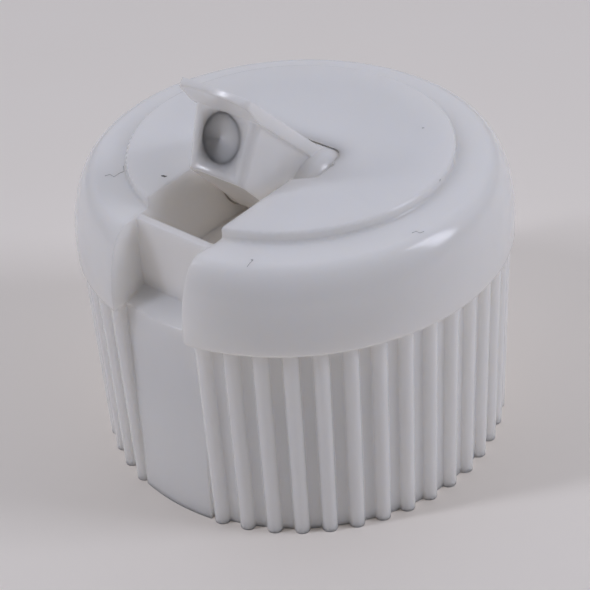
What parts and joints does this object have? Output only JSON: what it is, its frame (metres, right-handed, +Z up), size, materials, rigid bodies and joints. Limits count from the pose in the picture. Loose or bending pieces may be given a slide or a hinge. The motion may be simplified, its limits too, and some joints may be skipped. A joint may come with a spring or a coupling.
{
  "type": "flip top cap",
  "caption": "Round ribbed screw-on bottle closure with a spout that folds flat into its top and is lifted at a finger notch.",
  "frame": {"origin": "centre of the skirt's open end, on the axis of the neck bore", "axes": "+Z up along the cap's axis, towards the top; -Y towards the finger notch, where the folded spout points; +X to the right as seen from the notch"},
  "size_m": [0.032, 0.0317, 0.0309],
  "materials": {
    "cap_white": "glossy moulded, slightly translucent",
    "spout_white": "glossy moulded, slightly translucent"
  },
  "bodies": {
    "cap": {"cap_body": "cap_white"},
    "spout": {"spout": "spout_white"}
  },
  "joints": [
    {"name": "spout_hinge", "type": "hinge", "parent": "cap", "child": "spout", "pos_m": [0, -0.0008, 0.0206], "axis": [-1, 0, 0], "range_deg": [-45, 18]}
  ]
}
